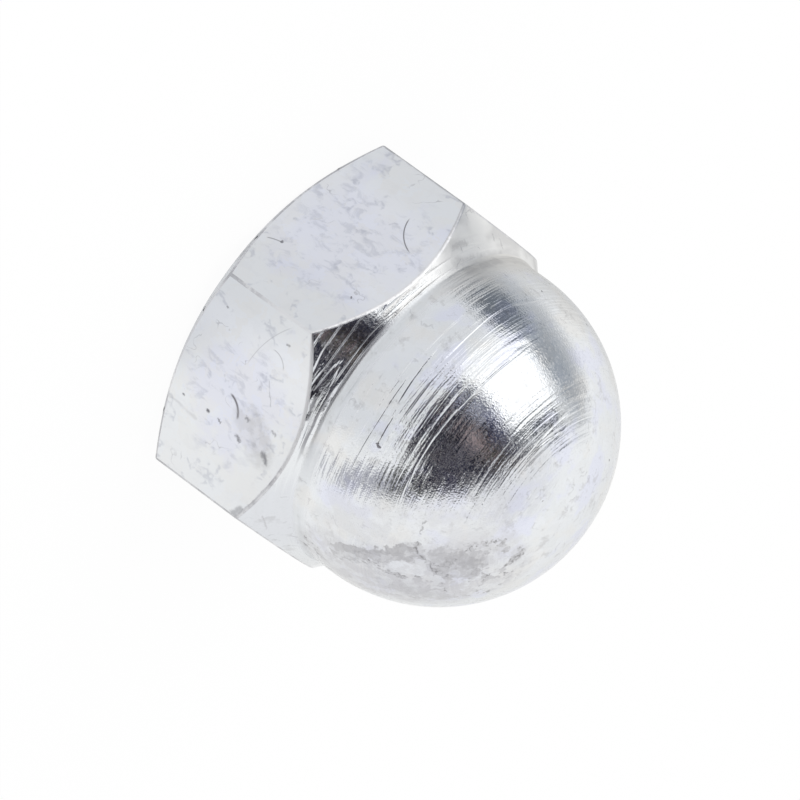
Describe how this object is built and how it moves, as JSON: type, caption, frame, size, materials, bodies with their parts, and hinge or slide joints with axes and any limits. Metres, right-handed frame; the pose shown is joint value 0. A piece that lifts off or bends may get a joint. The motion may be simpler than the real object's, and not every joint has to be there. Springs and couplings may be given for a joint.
{
  "type": "cap nut",
  "caption": "Cap nut with a chamfered hexagon, a short neck and a round dome that closes the blind threaded hole.",
  "frame": {"origin": "centre of the flat bearing face, where the thread axis meets it", "axes": "+Z along the thread axis, towards the top of the dome; -Y through a corner of the hexagon; +X through a flat"},
  "size_m": [0.013, 0.015, 0.0129],
  "materials": {
    "zinc_plated_steel": "bright blue-white zinc plating over turned steel, with light handling marks"
  },
  "bodies": {
    "root": {"cap_nut": "zinc_plated_steel"}
  },
  "joints": []
}
